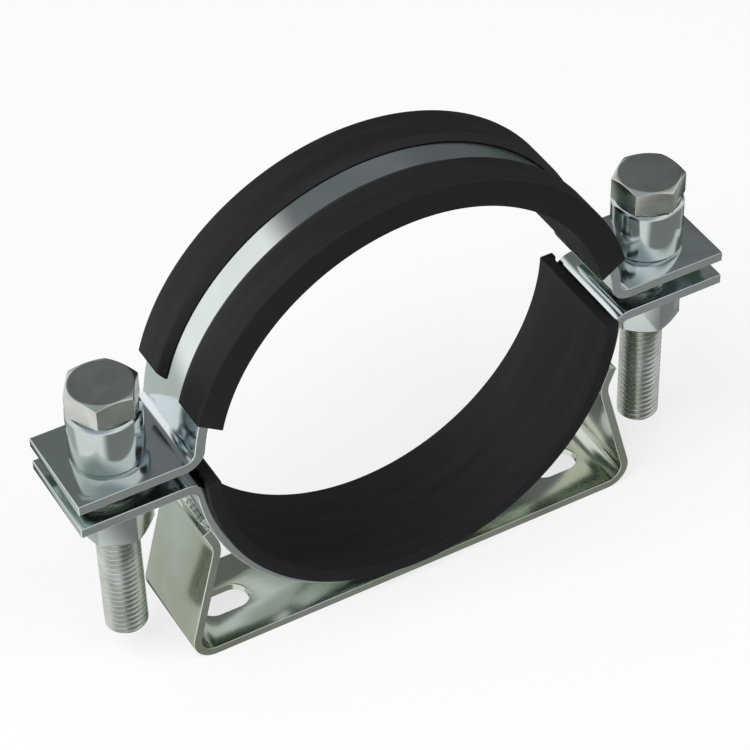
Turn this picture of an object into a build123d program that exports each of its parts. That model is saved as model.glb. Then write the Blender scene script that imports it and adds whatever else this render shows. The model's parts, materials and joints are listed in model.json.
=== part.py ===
"""Rubber lined pipe clamp on a welded base bracket, in millimetres, +Z up.

The origin is the centre of the base plate's underside. X runs along the ears, Y along the pipe.
"""
import math
import os

from build123d import *

# ---- pipe and rubber liners ----
pipe_diameter = 118.0            # DN 100 ductile iron pipe
liner_thickness = 3.2            # rubber between pipe and band
upper_liner_width = 34.2         # along the pipe
lower_liner_width = 34.8
lip_height = 1.8                 # rubber lip standing over the band's outer face
lip_inner_edge = 6.3             # distance of the lip's top inner edge from the middle
lip_inner_foot = 3.8             # distance of the lip's foot from the middle
lower_flange_height = 0.8        # rubber edge beside the lower band's rim
lower_liner_end = 2.6            # distance of the lower liner's ends below the pipe axis
upper_liner_end_inner = 14.4     # height of the upper liner's cut above the pipe axis, at the bore
upper_liner_end_outer = 19.2     # the same at the lips
rubber_gap = 0.1                 # between rubber and steel

# ---- steel strip of both clamp halves ----
strip_width = 30.0
strip_thickness = 3.0
ear_gap = 5.0                    # between the upper and the lower ears when clamped
bolt_offset = 17.2               # from the band's outer face to the bolt's axis
ear_tip_reach = 15.5             # from the bolt's axis to the ear's tip
ear_bend_radius = 3.0            # inside the bend
ear_hole_diameter = 13.0

# ---- base bracket ----
bracket_thickness = 2.5
bracket_gap = 0.1                # between the band's lowest point and the base plate
bracket_wall_lean = 14.4         # degrees out of upright, spreading downwards
bracket_wall_spread = 4.9        # how far outside the ring the wall's middle line meets the base plate's
bracket_corner_radius = 5.5      # along the middle of the strip
bracket_knee_radius = 8.0        # along the middle of the strip
bracket_top_angle = 22.0         # degrees below the pipe axis, where the bracket lies on the band
bracket_top_gap = 0.15
bracket_top_rise = 3.8           # length of strip lying on the band above that angle
weld_reach = 2.2                 # length of the weld seam along the band
weld_end_thickness = 0.3
base_slot_width = 9.0
base_slot_length = 15.0
base_slot_inset = 16.7           # from the wall's foot to the slot's centre

# ---- spacer sleeves ----
sleeve_diameter = 20.2
sleeve_bore = 13.0
sleeve_height = 16.0
sleeve_chamfer = 0.9

# ---- M12 x 80 bolts and long weld nuts ----
thread_diameter = 12.0
thread_pitch = 1.75
bolt_length = 80.0
head_across_flats = 18.0
head_height = 7.5
head_chamfer_angle = 30.0
head_face_ratio = 0.94           # flat top circle, against the distance across flats
washer_face_diameter = 16.8
washer_face_height = 0.6
bolt_tip_chamfer = 1.1
nut_height = 15.0
nut_clearance = 0.05             # running fit, on the radius
nut_countersink = 0.6
left_bolt_turn = -2.0            # degrees about its axis
right_bolt_turn = -23.0
left_nut_turn = 10.0
right_nut_turn = 20.0

# ---- worked out from the above ----
bore_radius = pipe_diameter / 2
liner_back_radius = bore_radius + liner_thickness
band_inner_radius = liner_back_radius + rubber_gap
band_outer_radius = band_inner_radius + strip_thickness
lip_inner_radius = band_outer_radius + rubber_gap
lip_outer_radius = lip_inner_radius + lip_height
axis_height = bracket_thickness + bracket_gap + band_outer_radius
bolt_x = band_outer_radius + bolt_offset
ear_end = bolt_x + ear_tip_reach
bracket_wall_foot = band_outer_radius + bracket_wall_spread
base_slot_x = bracket_wall_foot - base_slot_inset
half_width = strip_width / 2
upper_ear_bottom = ear_gap / 2
upper_ear_top = upper_ear_bottom + strip_thickness
lower_ear_bottom = -upper_ear_top
sleeve_top = upper_ear_top + sleeve_height
head_underside = sleeve_top + washer_face_height

# ---- cutting bodies ----
cut_margin = 1.0                 # how far they run past what they cut


def at(radius, angle):
    """Point on a circle about the pipe axis; the angle is in degrees from +X towards +Z."""
    turn = math.radians(angle)
    return Vector(radius * math.cos(turn), 0, radius * math.sin(turn))


def arc(centre, radius, start, end):
    """Arc in the XZ plane between two angles about its centre."""
    return ThreePointArc(*[centre + at(radius, angle) for angle in (start, (start + end) / 2, end)])


def slab(edges, width):
    """Face bounded by edges in the XZ plane, thickened evenly to both sides of that plane."""
    return extrude(make_face(edges), amount=width / 2, dir=(0, 1, 0), both=True)


def prism(points, width):
    """Slab over a polygon given as (x, z) pairs."""
    return slab(Polyline(*[Vector(x, 0, z) for x, z in points], close=True).edges(), width)


def half_revolved(profile):
    """Upper half ring from a closed profile of (radius, y) pairs."""
    face = make_face(Polyline(*profile, close=True).edges())
    return revolve(face, Axis((0, 0, 0), (0, -1, 0)), 180)


def hexagon(across_flats, height, turn):
    """Hexagonal prism standing on the XY plane."""
    return extrude(RegularPolygon(across_flats / 2, 6, major_radius=False, rotation=turn), amount=height)


def chamfer_cone(across_flats, face_diameter, height, angle):
    """Cone that rounds the corners off the upper end of a hexagon."""
    reach = across_flats
    drop = (reach - face_diameter / 2) * math.tan(math.radians(angle))
    cone = Cone(reach, face_diameter / 2, drop, align=(Align.CENTER, Align.CENTER, Align.MAX))
    shaft = Cylinder(reach, height, align=(Align.CENTER, Align.CENTER, Align.MAX))
    return Pos(0, 0, height) * (cone + Pos(0, 0, -drop) * shaft)


def through_hole(diameter, depth):
    """Cutting cylinder for a hole through a piece that stands on the XY plane."""
    return Pos(0, 0, depth / 2) * Cylinder(diameter / 2, depth + 2 * cut_margin)


def clamp_half(ear_bottom):
    """Half ring above the pipe axis whose ends bend outwards into flat ears."""
    middle_radius = band_outer_radius - strip_thickness / 2
    bend_middle = ear_bend_radius + strip_thickness / 2
    bend_height = ear_bottom + strip_thickness / 2 + bend_middle
    bend_x = math.sqrt((middle_radius + bend_middle) ** 2 - bend_height ** 2)
    meet = math.degrees(math.atan2(bend_height, bend_x))
    middle = Vector(0, 0, 0)
    edges = [arc(middle, radius, meet, 180 - meet) for radius in (band_inner_radius, band_outer_radius)]
    for side, start, end in ((1, 180 + meet, 270), (-1, -meet, -90)):
        centre = Vector(side * bend_x, 0, bend_height)
        tight = arc(centre, ear_bend_radius, start, end)
        wide = arc(centre, ear_bend_radius + strip_thickness, start, end)
        top = Vector(side * ear_end, 0, ear_bottom + strip_thickness)
        bottom = Vector(side * ear_end, 0, ear_bottom)
        edges += [tight, wide, Line(tight @ 1, top), Line(top, bottom), Line(bottom, wide @ 1)]
    strip = slab(edges, strip_width)
    for side in (1, -1):
        strip -= Pos(side * bolt_x, 0, ear_bottom) * through_hole(ear_hole_diameter, strip_thickness)
    return strip


def upper_band():
    return Pos(0, 0, axis_height) * clamp_half(upper_ear_bottom)


def lower_band():
    return Pos(0, 0, axis_height) * mirror(clamp_half(upper_ear_bottom), about=Plane.XY)


def upper_liner():
    """Rubber channel that holds the upper band and stands over its outer face as two lips."""
    edge = upper_liner_width / 2
    rim = half_width + rubber_gap
    side = [(bore_radius, edge), (lip_outer_radius, edge), (lip_outer_radius, lip_inner_edge),
            (lip_inner_radius, lip_inner_foot), (lip_inner_radius, rim), (liner_back_radius, rim)]
    profile = side + [(radius, -y) for radius, y in reversed(side)]
    ring = half_revolved(profile)
    inner_x = math.sqrt(bore_radius ** 2 - upper_liner_end_inner ** 2)
    outer_x = math.sqrt(lip_outer_radius ** 2 - upper_liner_end_outer ** 2)
    slope = (upper_liner_end_outer - upper_liner_end_inner) / (outer_x - inner_x)
    near, far = inner_x - liner_thickness, lip_outer_radius + cut_margin
    ends = [(near, upper_liner_end_inner + slope * (near - inner_x)),
            (far, upper_liner_end_inner + slope * (far - inner_x)), (far, -cut_margin), (near, -cut_margin)]
    wide = upper_liner_width + 2 * cut_margin
    for side_sign in (1, -1):
        ring -= prism([(side_sign * x, z) for x, z in ends], wide)
    return Pos(0, 0, axis_height) * ring


def lower_liner():
    """Rubber strip inside the lower band with a low flange along each rim of the band."""
    edge = lower_liner_width / 2
    rim = half_width + rubber_gap
    flange_radius = band_inner_radius + lower_flange_height
    side = [(bore_radius, edge), (flange_radius, edge), (flange_radius, rim), (liner_back_radius, rim)]
    profile = side + [(radius, -y) for radius, y in reversed(side)]
    ring = mirror(half_revolved(profile), about=Plane.XY)
    reach = flange_radius + cut_margin
    above = prism([(-reach, -lower_liner_end), (reach, -lower_liner_end), (reach, cut_margin),
                   (-reach, cut_margin)], lower_liner_width + 2 * cut_margin)
    return Pos(0, 0, axis_height) * (ring - above)


def bracket_path():
    """Middle line of the bracket strip on the +X side, from its top end to the corner, as (x, z) pairs."""
    reach = band_outer_radius + bracket_top_gap + bracket_thickness / 2
    turn = math.radians(bracket_top_angle)
    lean = math.radians(bracket_wall_lean)
    across = (math.cos(turn), -math.sin(turn))
    along = (math.sin(turn), math.cos(turn))
    top = tuple(reach * a + bracket_top_rise * b for a, b in zip(across, along))
    corner = (bracket_wall_foot, bracket_thickness / 2 - axis_height)
    wall = (-math.sin(lean), math.cos(lean))
    rise = (reach - corner[0] * across[0] - corner[1] * across[1]) / (
        wall[0] * across[0] + wall[1] * across[1])
    knee = (corner[0] + rise * wall[0], corner[1] + rise * wall[1])
    return top, knee, corner


def weld_seam():
    """Fillet weld that closes the step from the bracket's top end down to the band, on the +X side."""
    turn = math.radians(bracket_top_angle)
    across = (math.cos(turn), -math.sin(turn))
    along = (math.sin(turn), math.cos(turn))
    near = band_outer_radius + bracket_top_gap

    def spot(reach, rise):
        return reach * across[0] + rise * along[0], reach * across[1] + rise * along[1]

    tip_rise = bracket_top_rise + weld_reach
    tip_reach = math.sqrt(near ** 2 - tip_rise ** 2)
    return [spot(near, bracket_top_rise), spot(near + bracket_thickness, bracket_top_rise),
            spot(tip_reach + weld_end_thickness, tip_rise), spot(tip_reach, tip_rise)]


def base_bracket():
    """Strip bent to a slotted base plate and two leaning walls welded to the lower band."""
    top, knee, corner = bracket_path()
    half = [Vector(x, 0, z) for x, z in (top, knee, corner)]
    other = [Vector(-point.X, 0, point.Z) for point in reversed(half)]
    bends = [bracket_knee_radius, bracket_corner_radius]
    path = FilletPolyline(*half, *other, radius=bends + bends[::-1])
    section = Plane(origin=path @ 0, x_dir=(0, 1, 0), z_dir=path % 0) * Rectangle(strip_width, bracket_thickness)
    strip = sweep(section, path)
    for side in (1, -1):
        strip += prism([(side * x, z) for x, z in weld_seam()], strip_width)
        slot = extrude(SlotOverall(base_slot_length, base_slot_width), amount=bracket_thickness, both=True)
        strip -= Pos(side * base_slot_x, 0, bracket_thickness / 2 - axis_height) * slot
    return Pos(0, 0, axis_height) * strip


def sleeve(side):
    """Spacer sleeve between an upper ear and its bolt head."""
    body = Cylinder(sleeve_diameter / 2, sleeve_height, align=(Align.CENTER, Align.CENTER, Align.MIN))
    rims = body.edges().filter_by(GeomType.CIRCLE)
    body = chamfer(rims, sleeve_chamfer)
    body -= through_hole(sleeve_bore, sleeve_height)
    return Pos(side * bolt_x, 0, axis_height + upper_ear_top) * body


def weld_nut(side, turn):
    """Long hexagon nut under a lower ear; its lower end is chamfered."""
    face = head_across_flats * head_face_ratio
    body = hexagon(head_across_flats, nut_height, turn)
    body &= chamfer_cone(head_across_flats, face, nut_height, head_chamfer_angle)
    bore = thread_diameter / 2 + nut_clearance
    body -= through_hole(2 * bore, nut_height)
    widening = Cone(bore, bore + nut_countersink, nut_countersink, align=(Align.CENTER, Align.CENTER, Align.MAX))
    body -= Pos(0, 0, nut_height) * widening
    body = mirror(body, about=Plane.XY)
    return Pos(side * bolt_x, 0, axis_height + lower_ear_bottom) * body


def bolt(side, turn):
    """Hexagon head bolt threaded over its whole length; the thread is drawn as its outer cylinder."""
    face = head_across_flats * head_face_ratio
    head = hexagon(head_across_flats, head_height, turn)
    head &= chamfer_cone(head_across_flats, face, head_height, head_chamfer_angle)
    down = (Align.CENTER, Align.CENTER, Align.MAX)
    washer_face = Cylinder(washer_face_diameter / 2, washer_face_height, align=down)
    radius = thread_diameter / 2
    straight = bolt_length - bolt_tip_chamfer
    shank = Cylinder(radius, straight, align=down)
    tip = Cone(radius - bolt_tip_chamfer, radius, bolt_tip_chamfer, align=down)
    body = head + washer_face + shank + Pos(0, 0, -straight) * tip
    return Pos(side * bolt_x, 0, axis_height + head_underside) * body


PIECES = {
    "base_bracket": base_bracket(),
    "lower_band": lower_band(),
    "lower_liner": lower_liner(),
    "upper_band": upper_band(),
    "upper_liner": upper_liner(),
    "sleeve_left": sleeve(-1),
    "sleeve_right": sleeve(1),
    "weld_nut_left": weld_nut(-1, left_nut_turn),
    "weld_nut_right": weld_nut(1, right_nut_turn),
    "bolt_left": bolt(-1, left_bolt_turn),
    "bolt_right": bolt(1, right_bolt_turn),
}

os.makedirs("parts", exist_ok=True)
for node, piece in PIECES.items():
    shape = piece.solids()[0] if len(piece.solids()) == 1 else piece
    export_step(shape, f"parts/{node}.step")
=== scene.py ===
"""Rubber lined pipe clamp on a welded base bracket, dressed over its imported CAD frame.

The frame's axes hold throughout: metres, X along the ears, Y along the pipe, Z up, with the origin in the
centre of the base plate's underside. Sizes are named in millimetres and turned into metres once.
"""
import json
import logging
import math
from dataclasses import dataclass, field
from enum import Enum
from typing import Iterable, Sequence

import bmesh
import bpy
from mathutils import Matrix, Vector


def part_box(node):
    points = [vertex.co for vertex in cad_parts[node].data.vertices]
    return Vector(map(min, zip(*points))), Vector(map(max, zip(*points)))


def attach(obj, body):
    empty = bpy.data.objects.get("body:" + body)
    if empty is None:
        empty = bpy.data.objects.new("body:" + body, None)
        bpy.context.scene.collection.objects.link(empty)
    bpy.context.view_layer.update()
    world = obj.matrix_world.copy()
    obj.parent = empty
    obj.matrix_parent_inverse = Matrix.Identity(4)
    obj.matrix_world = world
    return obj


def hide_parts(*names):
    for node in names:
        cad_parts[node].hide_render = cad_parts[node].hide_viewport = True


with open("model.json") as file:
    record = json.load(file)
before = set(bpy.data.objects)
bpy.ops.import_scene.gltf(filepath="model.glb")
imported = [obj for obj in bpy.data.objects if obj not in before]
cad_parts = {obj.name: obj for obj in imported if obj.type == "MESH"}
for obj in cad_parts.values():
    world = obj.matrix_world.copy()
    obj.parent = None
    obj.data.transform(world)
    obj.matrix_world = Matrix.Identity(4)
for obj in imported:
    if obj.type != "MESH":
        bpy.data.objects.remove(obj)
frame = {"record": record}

log = logging.getLogger("pipe_clamp")
logging.basicConfig(level=logging.INFO, format="%(name)s: %(message)s")

MM = 0.001
MERGE = 0.002 * MM
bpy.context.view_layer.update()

# Red, green and blue, and the same with opacity.
Tint = tuple[float, float, float]
Colour = tuple[float, float, float, float]
Geometry = list[bmesh.types.BMVert | bmesh.types.BMEdge | bmesh.types.BMFace]


class Choice(Enum):
    """Named option whose name, in small letters, is part of the names of pieces."""

    @property
    def word(self) -> str:
        """The option's name in small letters."""
        return self.name.lower()


class Side(Choice):
    """End of the clamp, with its sign along X."""

    LEFT = -1
    RIGHT = 1


class Body(Enum):
    """Bodies of the frame that pieces ride on."""

    BASE = "base"
    UPPER = "upper_half"
    LEFT_BOLT = "left_bolt"
    RIGHT_BOLT = "right_bolt"


class Half(Choice):
    """Half of the ring, with its sign along Z."""

    UPPER = 1
    LOWER = -1

    @property
    def body(self) -> Body:
        """Body that this half belongs to."""
        return Body.UPPER if self is Half.UPPER else Body.BASE


class Slot(Enum):
    """Material slots of the record."""

    RUBBER = "rubber_lining"
    STRIP = "zinc_strip"
    TURNED = "zinc_turned"
    FASTENER = "zinc_fastener"


class Operation(Enum):
    """What a tool does to a piece."""

    CUT = "DIFFERENCE"
    CROSS = "INTERSECT"
    JOIN = "UNION"


# ---- Sizes shared by several pieces ----

def mount(name: str) -> dict:
    """Return the record's mount of that name."""
    return next(entry for entry in frame["record"]["mounts"] if entry["name"] == name)


@dataclass(frozen=True)
class RingSizes:
    """Radii of the ring's layers and the place of its axis, in metres.

    Attributes:
        axis_height: Height of the pipe axis over the base plate's underside.
        bore: Radius of the rubber's inner face.
        width: Width of the band along the pipe.
        bolt_x: Distance of the bolts' axes from the middle.
        ear_end: Distance of the ears' tips from the middle.
        liner: Thickness of the rubber between pipe and band.
        gap: Clearance between rubber and steel.
        strip: Thickness of the band.
        ear_gap: Clamping gap between the upper and lower ears.
    """

    axis_height: float
    bore: float
    width: float
    bolt_x: float
    ear_end: float
    liner: float = 3.2 * MM
    gap: float = 0.1 * MM
    strip: float = 3.0 * MM
    ear_gap: float = 5.0 * MM

    @property
    def band_inside(self) -> float:
        """Radius of the band's inner face."""
        return self.bore + self.liner + self.gap

    @property
    def band_outside(self) -> float:
        """Radius of the band's outer face."""
        return self.band_inside + self.strip

    @property
    def centre(self) -> Vector:
        """Middle of the ring."""
        return Vector((0, 0, self.axis_height))

    def bolt_axis(self, side: Side, height: float = 0.0) -> Vector:
        """Point on one bolt's axis at a height."""
        return Vector((side.value * self.bolt_x, 0, height))


def ring_from_frame() -> RingSizes:
    """Read the ring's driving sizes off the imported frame.

    Returns:
        The sizes that come from the frame, with the named ones at their defaults.
    """
    bore = mount("pipe_bore")
    low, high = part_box("upper_band")
    sleeve_low, sleeve_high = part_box("sleeve_right")
    return RingSizes(axis_height=bore["pos_m"][2], bore=bore["dims"]["r_mm"] * MM, width=high[1] - low[1],
                     bolt_x=(sleeve_low[0] + sleeve_high[0]) / 2, ear_end=high[0])


# ---- Workshop: steps that every piece goes through ----

def new_piece(name: str, bm: bmesh.types.BMesh) -> bpy.types.Object:
    """Turn a bmesh into an object at the origin.

    Args:
        name: The object's name.
        bm: Its mesh, which is freed.

    Returns:
        The linked object, with its normals pointing outwards.
    """
    bmesh.ops.remove_doubles(bm, verts=bm.verts, dist=MERGE)
    bmesh.ops.recalc_face_normals(bm, faces=bm.faces)
    mesh = bpy.data.meshes.new(name)
    bm.to_mesh(mesh)
    bm.free()
    piece = bpy.data.objects.new(name, mesh)
    bpy.context.scene.collection.objects.link(piece)
    return piece


def settle(piece: bpy.types.Object) -> None:
    """Apply a piece's modifiers to its mesh.

    Args:
        piece: The object, whose old mesh is removed.
    """
    graph = bpy.context.evaluated_depsgraph_get()
    graph.update()
    mesh = bpy.data.meshes.new_from_object(piece.evaluated_get(graph))
    piece.modifiers.clear()
    old = piece.data
    piece.data = mesh
    bpy.data.meshes.remove(old)
    mesh.name = piece.name


def machine(piece: bpy.types.Object, tool: bpy.types.Object, operation: Operation) -> None:
    """Cut, cross or join a piece with a tool, which is used up.

    Args:
        piece: The object that is worked on.
        tool: The object that shapes it.
        operation: What the tool does.
    """
    step = piece.modifiers.new("machine", "BOOLEAN")
    step.object = tool
    step.operation = operation.value
    step.solver = "EXACT"
    settle(piece)
    bpy.data.objects.remove(tool)


def round_edges(piece: bpy.types.Object, radius: float, segments: int = 3, limit: float = 40.0) -> None:
    """Round every edge that is sharper than a limit.

    Args:
        piece: The object.
        radius: Size of the rounding in metres.
        segments: Faces across it.
        limit: Angle between faces, in degrees, under which an edge is left alone.
    """
    step = piece.modifiers.new("round", "BEVEL")
    step.width = radius
    step.segments = segments
    step.limit_method = "ANGLE"
    step.angle_limit = math.radians(limit)
    step.use_clamp_overlap = True
    step.miter_outer = "MITER_ARC"
    settle(piece)


def smooth(piece: bpy.types.Object, limit: float = 32.0) -> None:
    """Shade a piece smooth up to an angle in degrees."""
    piece.data.shade_smooth()
    piece.data.set_sharp_from_angle(angle=math.radians(limit))


def hand_over(piece: bpy.types.Object, material: bpy.types.Material, body: Body,
              nodes: Sequence[str] = ()) -> None:
    """Dress a finished piece and tie it to the frame.

    Args:
        piece: The object.
        material: Its finish.
        body: The body it rides on.
        nodes: The CAD nodes it stands for.
    """
    piece.data.materials.clear()
    piece.data.materials.append(material)
    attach(piece, body.value)
    if nodes:
        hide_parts(*nodes)
    log.info("%s: %d faces, rides on %s", piece.name, len(piece.data.polygons), body.value)


def polygon(bm: bmesh.types.BMesh, points: Iterable[Sequence[float]], corner: float,
            segments: int = 4) -> Geometry:
    """Make one flat face from a few corner points and round its corners.

    Args:
        bm: The mesh that gets it.
        points: Corners in order.
        corner: Radius of the corners in metres.
        segments: Edges across each rounded corner.

    Returns:
        The geometry of the face, ready for a spin or an extrude.
    """
    face = bm.faces.new([bm.verts.new(point) for point in points])
    bmesh.ops.bevel(bm, geom=list(face.verts), offset=corner, offset_type="OFFSET", segments=segments,
                    profile=0.5, affect="VERTICES", material=-1, clamp_overlap=True)
    return list(bm.verts) + list(bm.edges) + list(bm.faces)


def slice_off(bm: bmesh.types.BMesh, geometry: Geometry, point: Vector, normal: Vector,
              ahead: bool = False, margin: float = 1e-7) -> None:
    """Cut geometry along a plane, take one part away and close the cut.

    Args:
        bm: The mesh.
        geometry: Its vertices, edges and faces that are cut.
        point: A point of the plane.
        normal: The plane's normal.
        ahead: True to take away what the normal points at, False for what is behind it.
        margin: Distance in metres within which a vertex counts as on the plane.
    """
    cut = bmesh.ops.bisect_plane(bm, geom=geometry, dist=margin, plane_co=point, plane_no=normal,
                                 clear_outer=ahead, clear_inner=not ahead)
    rim = [e for e in cut["geom_cut"] if isinstance(e, bmesh.types.BMEdge)]
    bmesh.ops.holes_fill(bm, edges=rim, sides=0)


def turned(name: str, profile: Iterable[tuple[float, float]], axis: Vector, closed: bool = False,
           steps: int = 96) -> bpy.types.Object:
    """Spin a (radius, height) profile fully round an upright axis.

    Args:
        name: The object's name.
        profile: Corners of the profile in metres. An open one starts and ends on the axis.
        axis: A point on the axis, at height 0.
        closed: True if the last corner joins the first, which makes a ring.
        steps: Faces round the axis.

    Returns:
        The turned object.
    """
    bm = bmesh.new()
    rim = [bm.verts.new((axis.x + radius, axis.y, axis.z + height)) for radius, height in profile]
    edges = [bm.edges.new(pair) for pair in zip(rim, rim[1:] + (rim[:1] if closed else []))]
    bmesh.ops.spin(bm, geom=rim + edges, cent=axis, axis=(0, 0, 1), angle=math.tau, steps=steps,
                   use_merge=True, use_duplicate=False)
    return new_piece(name, bm)


# ---- Finishes ----

class NodeBoard:
    """Shorthand for wiring one shader tree."""

    def __init__(self, tree: bpy.types.NodeTree) -> None:
        """Take over an empty tree."""
        self.tree = tree

    def add(self, kind: str, **values: object) -> bpy.types.Node:
        """Add a node and set its properties and sockets.

        Args:
            kind: The node's type name without the ShaderNode in front.
            **values: Property names, or socket names with spaces written as double underscores.

        Returns:
            The node.
        """
        node = self.tree.nodes.new("ShaderNode" + kind)
        for name, value in values.items():
            if hasattr(node, name):
                setattr(node, name, value)
            else:
                node.inputs[name.replace("__", " ")].default_value = value
        return node

    def join(self, source: bpy.types.NodeSocket, target: bpy.types.NodeSocket) -> None:
        """Link one socket to another."""
        self.tree.links.new(source, target)

    def wire(self, *rows: tuple[bpy.types.Node, str, bpy.types.Node, str | int]) -> None:
        """Link nodes by rows of node, output, next node and its input."""
        for source, output, target, entry in rows:
            self.join(source.outputs[output], target.inputs[entry])


def live_factor(mix: bpy.types.Node) -> bpy.types.NodeSocket:
    """Return the factor socket that a Mix node shows for its data type."""
    return next(socket for socket in mix.inputs if socket.name == "Factor" and socket.enabled)


def live_result(mix: bpy.types.Node) -> bpy.types.NodeSocket:
    """Return the result socket that a Mix node shows for its data type."""
    return next(socket for socket in mix.outputs if socket.enabled)


def live_input(mix: bpy.types.Node, name: str) -> bpy.types.NodeSocket:
    """Return the A or B socket that a Mix node shows for its data type."""
    return next(socket for socket in mix.inputs if socket.name == name and socket.enabled)


def shader_group(name: str, inputs: Sequence[tuple[str, str, float]],
                 outputs: Sequence[tuple[str, str]]) -> tuple[bpy.types.NodeTree, NodeBoard]:
    """Start a shader node group with its sockets.

    Args:
        name: The group's name.
        inputs: Socket name, socket type and default of each input.
        outputs: Socket name and socket type of each output.

    Returns:
        The tree and a board to wire it with.
    """
    tree = bpy.data.node_groups.new(name, "ShaderNodeTree")
    for label, kind, value in inputs:
        socket = tree.interface.new_socket(label, in_out="INPUT", socket_type=kind)
        if kind == "NodeSocketFloat":
            socket.default_value = value
    for label, kind in outputs:
        tree.interface.new_socket(label, in_out="OUTPUT", socket_type=kind)
    return tree, NodeBoard(tree)


class SurfaceGroups:
    """Shader node groups that several finishes share; each is built once."""

    def __init__(self) -> None:
        """Build every group."""
        self.rolling = self._rolling_marks()
        self.stains = self._plating_stains()
        self.grain = self._skin_grain()

    @staticmethod
    def _rolling_marks() -> bpy.types.NodeTree:
        """Fine lines along the strip, and a few scratches across them.

        Returns:
            Group with the height of the marks and the wear of the scratches.
        """
        tree, board = shader_group(
            "Rolling marks",
            [("Vector", "NodeSocketVector", 0.0), ("Lines", "NodeSocketFloat", 0.5),
             ("Scratches", "NodeSocketFloat", 0.5)],
            [("Height", "NodeSocketFloat"), ("Wear", "NodeSocketFloat")])
        entry = tree.nodes.new("NodeGroupInput")
        leave = tree.nodes.new("NodeGroupOutput")
        stretch = board.add("Mapping", Scale=(60.0, 3200.0, 60.0))
        lines = board.add("TexNoise", Scale=1.0, Detail=3.0, Roughness=0.6)
        turn = board.add("Mapping", Scale=(900.0, 60.0, 900.0), Rotation=(0.0, 0.35, 0.2))
        cross = board.add("TexNoise", Scale=1.0, Detail=4.0, Roughness=0.7)
        thin = board.add("ValToRGB")
        thin.color_ramp.elements[0].position = 0.60
        thin.color_ramp.elements[1].position = 0.72
        line_share = board.add("Math", operation="MULTIPLY")
        scratch_share = board.add("Math", operation="MULTIPLY")
        total = board.add("Math", operation="SUBTRACT")
        board.wire((entry, "Vector", stretch, "Vector"), (entry, "Vector", turn, "Vector"),
                   (stretch, "Vector", lines, "Vector"), (turn, "Vector", cross, "Vector"),
                   (cross, "Fac", thin, "Fac"), (lines, "Fac", line_share, 0),
                   (entry, "Lines", line_share, 1), (thin, "Color", scratch_share, 0),
                   (entry, "Scratches", scratch_share, 1), (line_share, "Value", total, 0),
                   (scratch_share, "Value", total, 1), (total, "Value", leave, "Height"),
                   (scratch_share, "Value", leave, "Wear"))
        return tree

    @staticmethod
    def _plating_stains() -> bpy.types.NodeTree:
        """Cloudy patches where the plating's passivation is thicker.

        Returns:
            Group with a mask of the clouds and a fine speckle.
        """
        tree, board = shader_group(
            "Plating stains",
            [("Vector", "NodeSocketVector", 0.0), ("Spread", "NodeSocketFloat", 40.0)],
            [("Cloud", "NodeSocketFloat"), ("Speckle", "NodeSocketFloat")])
        entry = tree.nodes.new("NodeGroupInput")
        leave = tree.nodes.new("NodeGroupOutput")
        cloud = board.add("TexNoise", Detail=2.0, Roughness=0.5, Distortion=0.6)
        spread = board.add("MapRange", From__Min=0.35, From__Max=0.65)
        speckle = board.add("TexNoise", Scale=1400.0, Detail=3.0, Roughness=0.65)
        board.wire((entry, "Vector", cloud, "Vector"), (entry, "Vector", speckle, "Vector"),
                   (entry, "Spread", cloud, "Scale"), (cloud, "Fac", spread, "Value"),
                   (spread, "Result", leave, "Cloud"), (speckle, "Fac", leave, "Speckle"))
        return tree

    @staticmethod
    def _skin_grain() -> bpy.types.NodeTree:
        """Fine moulded grain with faint smears, as on extruded rubber.

        Returns:
            Group with the height of the grain and a mask of the smears.
        """
        tree, board = shader_group(
            "Skin grain",
            [("Vector", "NodeSocketVector", 0.0), ("Fineness", "NodeSocketFloat", 2500.0)],
            [("Height", "NodeSocketFloat"), ("Smear", "NodeSocketFloat")])
        entry = tree.nodes.new("NodeGroupInput")
        leave = tree.nodes.new("NodeGroupOutput")
        grain = board.add("TexNoise", Detail=4.0, Roughness=0.7)
        stretch = board.add("Mapping", Scale=(25.0, 260.0, 25.0))
        smear = board.add("TexNoise", Scale=1.0, Detail=3.0, Roughness=0.6)
        spread = board.add("MapRange", From__Min=0.4, From__Max=0.68)
        board.wire((entry, "Vector", grain, "Vector"), (entry, "Fineness", grain, "Scale"),
                   (entry, "Vector", stretch, "Vector"), (stretch, "Vector", smear, "Vector"),
                   (smear, "Fac", spread, "Value"), (grain, "Fac", leave, "Height"),
                   (spread, "Result", leave, "Smear"))
        return tree


def blank_material(name: str) -> tuple[bpy.types.Material, NodeBoard, bpy.types.Node, bpy.types.Node]:
    """Start a material that holds a Principled BSDF and Object coordinates.

    Args:
        name: The material's name.

    Returns:
        The material, its board, the Principled node and the coordinates node.
    """
    material = bpy.data.materials.new(name)
    material.use_nodes = True
    material.node_tree.nodes.clear()
    board = NodeBoard(material.node_tree)
    surface = board.add("BsdfPrincipled")
    out = board.add("OutputMaterial")
    place = board.add("TexCoord")
    board.join(surface.outputs["BSDF"], out.inputs["Surface"])
    return material, board, surface, place


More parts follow.
